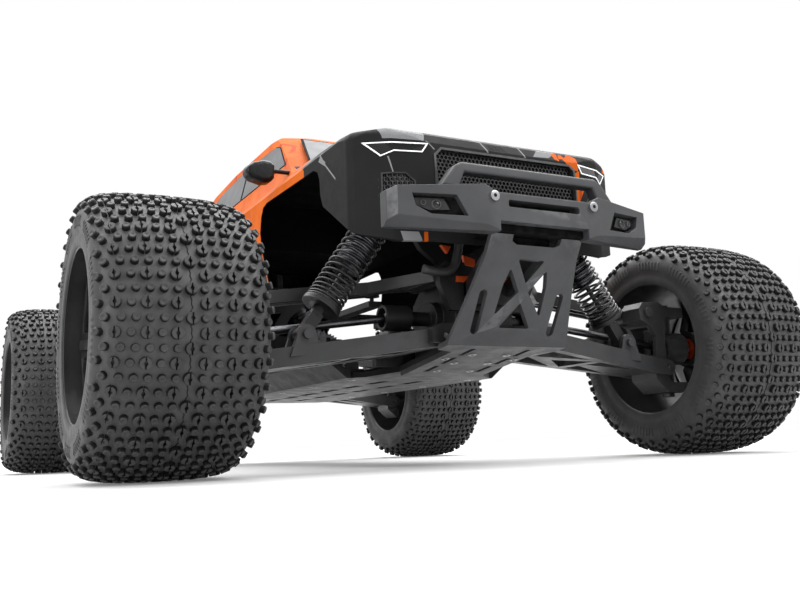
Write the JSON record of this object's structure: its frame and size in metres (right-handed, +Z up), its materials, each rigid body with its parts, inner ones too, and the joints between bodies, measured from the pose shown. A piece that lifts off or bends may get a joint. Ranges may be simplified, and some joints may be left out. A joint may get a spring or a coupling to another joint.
{
  "type": "radio-controlled monster truck",
  "caption": "Four-wheel-drive electric model truck with sprung wishbones, linked steering, spiked tyres, bumper, skid plate and a lift-off body shell.",
  "frame": {"origin": "on the ground under the middle of the truck", "axes": "+Z up, -Y towards the nose, +X towards the truck's left"},
  "size_m": [0.531, 0.6672, 0.286],
  "materials": {
    "chassis_plate": "satin composite",
    "moulded_plastic": "fine-grained moulded nylon",
    "gearbox_plastic": "fine-grained moulded nylon",
    "anodised_orange": "anodised orange",
    "steel": "turned, lightly oiled",
    "tyre_rubber": "soft matt rubber",
    "wheel_plastic": "satin moulded nylon",
    "arm_plastic": "fine-grained moulded nylon",
    "shaft_steel": "dark turned steel",
    "shock_plastic": "satin moulded nylon",
    "shock_alloy": "dark anodised",
    "spring_steel": "black powder coat",
    "motor_alloy": "dark anodised, finned",
    "gear_steel": "cut and hardened",
    "shell_paint": "thin printed polycarbonate, grey with orange cab sides"
  },
  "bodies": {
    "chassis": {"chassis_plate": "chassis_plate", "side_guards": "moulded_plastic", "front_bumper": "moulded_plastic", "front_skid_plate": "moulded_plastic", "rear_bumper": "moulded_plastic", "axle_gearboxes": "gearbox_plastic", "shock_towers": "moulded_plastic", "hinge_pin_braces": "anodised_orange", "fasteners": "steel", "motor": "motor_alloy", "centre_gearbox": "gearbox_plastic", "speed_controller": "gearbox_plastic", "steering_servo": "gearbox_plastic", "body_posts": "moulded_plastic"},
    "shell": {"body_shell": "shell_paint"},
    "left_crank": {"servo_saver": "moulded_plastic"},
    "right_crank": {"steering_idler": "moulded_plastic"},
    "steering_link": {"drag_link": "moulded_plastic"},
    "driveline": {"centre_driveline": "shaft_steel"},
    "pinion_shaft": {"pinion": "gear_steel"},
    "front_left_arm": {"front_left_lower_arm": "arm_plastic"},
    "front_left_link": {"front_left_upper_arm": "arm_plastic"},
    "front_left_shaft": {"front_left_half_shaft": "shaft_steel"},
    "front_left_shock": {"front_left_shock_body": "shock_alloy", "front_left_shock_spring": "spring_steel"},
    "front_left_rod": {"front_left_shock_rod": "shock_plastic"},
    "front_left_spin": {"front_left_tyre": "tyre_rubber", "front_left_wheel": "wheel_plastic"},
    "front_left_upright": {"front_left_caster_block": "arm_plastic"},
    "front_left_knuckle": {"front_left_steering_knuckle": "arm_plastic"},
    "front_left_tie": {"front_left_tie_rod": "moulded_plastic"},
    "front_right_arm": {"front_right_lower_arm": "arm_plastic"},
    "front_right_link": {"front_right_upper_arm": "arm_plastic"},
    "front_right_shaft": {"front_right_half_shaft": "shaft_steel"},
    "front_right_shock": {"front_right_shock_body": "shock_alloy", "front_right_shock_spring": "spring_steel"},
    "front_right_rod": {"front_right_shock_rod": "shock_plastic"},
    "front_right_spin": {"front_right_tyre": "tyre_rubber", "front_right_wheel": "wheel_plastic"},
    "front_right_upright": {"front_right_caster_block": "arm_plastic"},
    "front_right_knuckle": {"front_right_steering_knuckle": "arm_plastic"},
    "front_right_tie": {"front_right_tie_rod": "moulded_plastic"},
    "rear_left_arm": {"rear_left_lower_arm": "arm_plastic"},
    "rear_left_link": {"rear_left_upper_arm": "arm_plastic"},
    "rear_left_shaft": {"rear_left_half_shaft": "shaft_steel"},
    "rear_left_shock": {"rear_left_shock_body": "shock_alloy", "rear_left_shock_spring": "spring_steel"},
    "rear_left_rod": {"rear_left_shock_rod": "shock_plastic"},
    "rear_left_spin": {"rear_left_tyre": "tyre_rubber", "rear_left_wheel": "wheel_plastic"},
    "rear_left_upright": {"rear_left_hub_carrier": "arm_plastic"},
    "rear_right_arm": {"rear_right_lower_arm": "arm_plastic"},
    "rear_right_link": {"rear_right_upper_arm": "arm_plastic"},
    "rear_right_shaft": {"rear_right_half_shaft": "shaft_steel"},
    "rear_right_shock": {"rear_right_shock_body": "shock_alloy", "rear_right_shock_spring": "spring_steel"},
    "rear_right_rod": {"rear_right_shock_rod": "shock_plastic"},
    "rear_right_spin": {"rear_right_tyre": "tyre_rubber", "rear_right_wheel": "wheel_plastic"},
    "rear_right_upright": {"rear_right_hub_carrier": "arm_plastic"}
  },
  "joints": [
    {"name": "front_left_bump", "type": "hinge", "parent": "chassis", "child": "front_left_arm", "pos_m": [0.042, -0.231, 0.085], "axis": [0, -1, 0], "range_deg": [0, 20], "stiffness_Nm_per_rad": 9, "springref_deg": -19.48},
    {"name": "front_left_link_swing", "type": "hinge", "parent": "chassis", "child": "front_left_link", "pos_m": [0.03, -0.231, 0.129], "axis": [0, -1, 0], "range_deg": [0, 20]},
    {"name": "front_left_upright_level", "type": "hinge", "parent": "front_left_arm", "child": "front_left_upright", "pos_m": [0.174, -0.231, 0.068], "axis": [0, -1, 0], "range_deg": [-20, 0]},
    {"name": "front_left_shaft_swing", "type": "hinge", "parent": "chassis", "child": "front_left_shaft", "pos_m": [0.06, -0.231, 0.102], "axis": [0, -1, 0], "range_deg": [0, 20]},
    {"name": "front_left_shock_swing", "type": "hinge", "parent": "chassis", "child": "front_left_shock", "pos_m": [0.057, -0.2475, 0.192], "axis": [0, -1, 0], "range_deg": [0, 8]},
    {"name": "front_left_shock_stroke", "type": "slide", "parent": "front_left_shock", "child": "front_left_rod", "axis": [-0.5724, 0, 0.82], "range_m": [0, 0.028], "deforming": ["front_left_shock_spring"]},
    {"name": "steering", "type": "hinge", "parent": "front_left_upright", "child": "front_left_knuckle", "pos_m": [0.192, -0.231, 0.085], "axis": [0, 0, 1], "range_deg": [-24, 24]},
    {"name": "front_left_tie_swing", "type": "hinge", "parent": "steering_link", "child": "front_left_tie", "pos_m": [0.06, -0.205, 0.124], "axis": [0, -1, 0], "range_deg": [0, 20]},
    {"name": "front_left_wheel_spin", "type": "hinge", "parent": "front_left_knuckle", "child": "front_left_spin", "pos_m": [0.218, -0.231, 0.085], "axis": [1, 0, 0], "continuous": true},
    {"name": "front_right_bump", "type": "hinge", "parent": "chassis", "child": "front_right_arm", "pos_m": [-0.042, -0.231, 0.085], "axis": [0, 1, 0], "range_deg": [0, 20], "stiffness_Nm_per_rad": 9, "springref_deg": -19.48},
    {"name": "front_right_link_swing", "type": "hinge", "parent": "chassis", "child": "front_right_link", "pos_m": [-0.03, -0.231, 0.129], "axis": [0, 1, 0], "range_deg": [0, 20]},
    {"name": "front_right_upright_level", "type": "hinge", "parent": "front_right_arm", "child": "front_right_upright", "pos_m": [-0.174, -0.231, 0.068], "axis": [0, 1, 0], "range_deg": [-20, 0]},
    {"name": "front_right_shaft_swing", "type": "hinge", "parent": "chassis", "child": "front_right_shaft", "pos_m": [-0.06, -0.231, 0.102], "axis": [0, 1, 0], "range_deg": [0, 20]},
    {"name": "front_right_shock_swing", "type": "hinge", "parent": "chassis", "child": "front_right_shock", "pos_m": [-0.057, -0.2475, 0.192], "axis": [0, 1, 0], "range_deg": [0, 8]},
    {"name": "front_right_shock_stroke", "type": "slide", "parent": "front_right_shock", "child": "front_right_rod", "axis": [0.5724, 0, 0.82], "range_m": [0, 0.028], "deforming": ["front_right_shock_spring"]},
    {"name": "right_knuckle_steer", "type": "hinge", "parent": "front_right_upright", "child": "front_right_knuckle", "pos_m": [-0.192, -0.231, 0.085], "axis": [0, 0, 1], "range_deg": [-24, 24]},
    {"name": "front_right_tie_swing", "type": "hinge", "parent": "steering_link", "child": "front_right_tie", "pos_m": [-0.06, -0.205, 0.124], "axis": [0, 1, 0], "range_deg": [0, 20]},
    {"name": "front_right_wheel_spin", "type": "hinge", "parent": "front_right_knuckle", "child": "front_right_spin", "pos_m": [-0.218, -0.231, 0.085], "axis": [1, 0, 0], "continuous": true},
    {"name": "rear_left_bump", "type": "hinge", "parent": "chassis", "child": "rear_left_arm", "pos_m": [0.042, 0.231, 0.085], "axis": [0, -1, 0], "range_deg": [0, 20], "stiffness_Nm_per_rad": 9, "springref_deg": -19.48},
    {"name": "rear_left_link_swing", "type": "hinge", "parent": "chassis", "child": "rear_left_link", "pos_m": [0.03, 0.231, 0.129], "axis": [0, -1, 0], "range_deg": [0, 20]},
    {"name": "rear_left_upright_level", "type": "hinge", "parent": "rear_left_arm", "child": "rear_left_upright", "pos_m": [0.174, 0.231, 0.068], "axis": [0, -1, 0], "range_deg": [-20, 0]},
    {"name": "rear_left_shaft_swing", "type": "hinge", "parent": "chassis", "child": "rear_left_shaft", "pos_m": [0.06, 0.231, 0.102], "axis": [0, -1, 0], "range_deg": [0, 20]},
    {"name": "rear_left_shock_swing", "type": "hinge", "parent": "chassis", "child": "rear_left_shock", "pos_m": [0.057, 0.2475, 0.192], "axis": [0, -1, 0], "range_deg": [0, 8]},
    {"name": "rear_left_shock_stroke", "type": "slide", "parent": "rear_left_shock", "child": "rear_left_rod", "axis": [-0.5724, 0, 0.82], "range_m": [0, 0.028], "deforming": ["rear_left_shock_spring"]},
    {"name": "rear_left_wheel_spin", "type": "hinge", "parent": "rear_left_upright", "child": "rear_left_spin", "pos_m": [0.218, 0.231, 0.085], "axis": [1, 0, 0], "continuous": true},
    {"name": "rear_right_bump", "type": "hinge", "parent": "chassis", "child": "rear_right_arm", "pos_m": [-0.042, 0.231, 0.085], "axis": [0, 1, 0], "range_deg": [0, 20], "stiffness_Nm_per_rad": 9, "springref_deg": -19.48},
    {"name": "rear_right_link_swing", "type": "hinge", "parent": "chassis", "child": "rear_right_link", "pos_m": [-0.03, 0.231, 0.129], "axis": [0, 1, 0], "range_deg": [0, 20]},
    {"name": "rear_right_upright_level", "type": "hinge", "parent": "rear_right_arm", "child": "rear_right_upright", "pos_m": [-0.174, 0.231, 0.068], "axis": [0, 1, 0], "range_deg": [-20, 0]},
    {"name": "rear_right_shaft_swing", "type": "hinge", "parent": "chassis", "child": "rear_right_shaft", "pos_m": [-0.06, 0.231, 0.102], "axis": [0, 1, 0], "range_deg": [0, 20]},
    {"name": "rear_right_shock_swing", "type": "hinge", "parent": "chassis", "child": "rear_right_shock", "pos_m": [-0.057, 0.2475, 0.192], "axis": [0, 1, 0], "range_deg": [0, 8]},
    {"name": "rear_right_shock_stroke", "type": "slide", "parent": "rear_right_shock", "child": "rear_right_rod", "axis": [0.5724, 0, 0.82], "range_m": [0, 0.028], "deforming": ["rear_right_shock_spring"]},
    {"name": "rear_right_wheel_spin", "type": "hinge", "parent": "rear_right_upright", "child": "rear_right_spin", "pos_m": [-0.218, 0.231, 0.085], "axis": [1, 0, 0], "continuous": true},
    {"name": "left_crank_turn", "type": "hinge", "parent": "chassis", "child": "left_crank", "pos_m": [0.024, -0.17, 0.104], "axis": [0, 0, 1], "range_deg": [-24, 24]},
    {"name": "right_crank_turn", "type": "hinge", "parent": "chassis", "child": "right_crank", "pos_m": [-0.024, -0.17, 0.104], "axis": [0, 0, 1], "range_deg": [-24, 24]},
    {"name": "steering_link_level", "type": "hinge", "parent": "left_crank", "child": "steering_link", "pos_m": [0.024, -0.144, 0.113], "axis": [0, 0, 1], "range_deg": [-24, 24]},
    {"name": "driveline_spin", "type": "hinge", "parent": "chassis", "child": "driveline", "pos_m": [0, 0, 0.102], "axis": [0, 1, 0], "continuous": true},
    {"name": "pinion_spin", "type": "hinge", "parent": "chassis", "child": "pinion_shaft", "pos_m": [-0.0306, 0.024, 0.102], "axis": [0, 1, 0], "continuous": true},
    {"name": "shell_lift", "type": "slide", "parent": "chassis", "child": "shell", "axis": [0, 0, 1], "range_m": [0, 0.16]}
  ],
  "couplings": [
    {"joint": "front_left_link_swing", "follows": "front_left_bump", "ratio": 1},
    {"joint": "front_left_upright_level", "follows": "front_left_bump", "ratio": -1},
    {"joint": "front_left_shaft_swing", "follows": "front_left_bump", "ratio": 1},
    {"joint": "front_left_shock_swing", "follows": "front_left_bump", "ratio": 0.364},
    {"joint": "front_left_shock_stroke", "follows": "front_left_bump", "m_per_rad": 0.0776},
    {"joint": "front_left_tie_swing", "follows": "front_left_bump", "ratio": 1},
    {"joint": "front_right_link_swing", "follows": "front_right_bump", "ratio": 1},
    {"joint": "front_right_upright_level", "follows": "front_right_bump", "ratio": -1},
    {"joint": "front_right_shaft_swing", "follows": "front_right_bump", "ratio": 1},
    {"joint": "front_right_shock_swing", "follows": "front_right_bump", "ratio": 0.364},
    {"joint": "front_right_shock_stroke", "follows": "front_right_bump", "m_per_rad": 0.0776},
    {"joint": "right_knuckle_steer", "follows": "steering", "ratio": 1},
    {"joint": "front_right_tie_swing", "follows": "front_right_bump", "ratio": 1},
    {"joint": "rear_left_link_swing", "follows": "rear_left_bump", "ratio": 1},
    {"joint": "rear_left_upright_level", "follows": "rear_left_bump", "ratio": -1},
    {"joint": "rear_left_shaft_swing", "follows": "rear_left_bump", "ratio": 1},
    {"joint": "rear_left_shock_swing", "follows": "rear_left_bump", "ratio": 0.364},
    {"joint": "rear_left_shock_stroke", "follows": "rear_left_bump", "m_per_rad": 0.0776},
    {"joint": "rear_right_link_swing", "follows": "rear_right_bump", "ratio": 1},
    {"joint": "rear_right_upright_level", "follows": "rear_right_bump", "ratio": -1},
    {"joint": "rear_right_shaft_swing", "follows": "rear_right_bump", "ratio": 1},
    {"joint": "rear_right_shock_swing", "follows": "rear_right_bump", "ratio": 0.364},
    {"joint": "rear_right_shock_stroke", "follows": "rear_right_bump", "m_per_rad": 0.0776},
    {"joint": "left_crank_turn", "follows": "steering", "ratio": 1},
    {"joint": "right_crank_turn", "follows": "steering", "ratio": 1},
    {"joint": "steering_link_level", "follows": "steering", "ratio": -1},
    {"joint": "pinion_spin", "follows": "driveline_spin", "ratio": -3.0667}
  ]
}
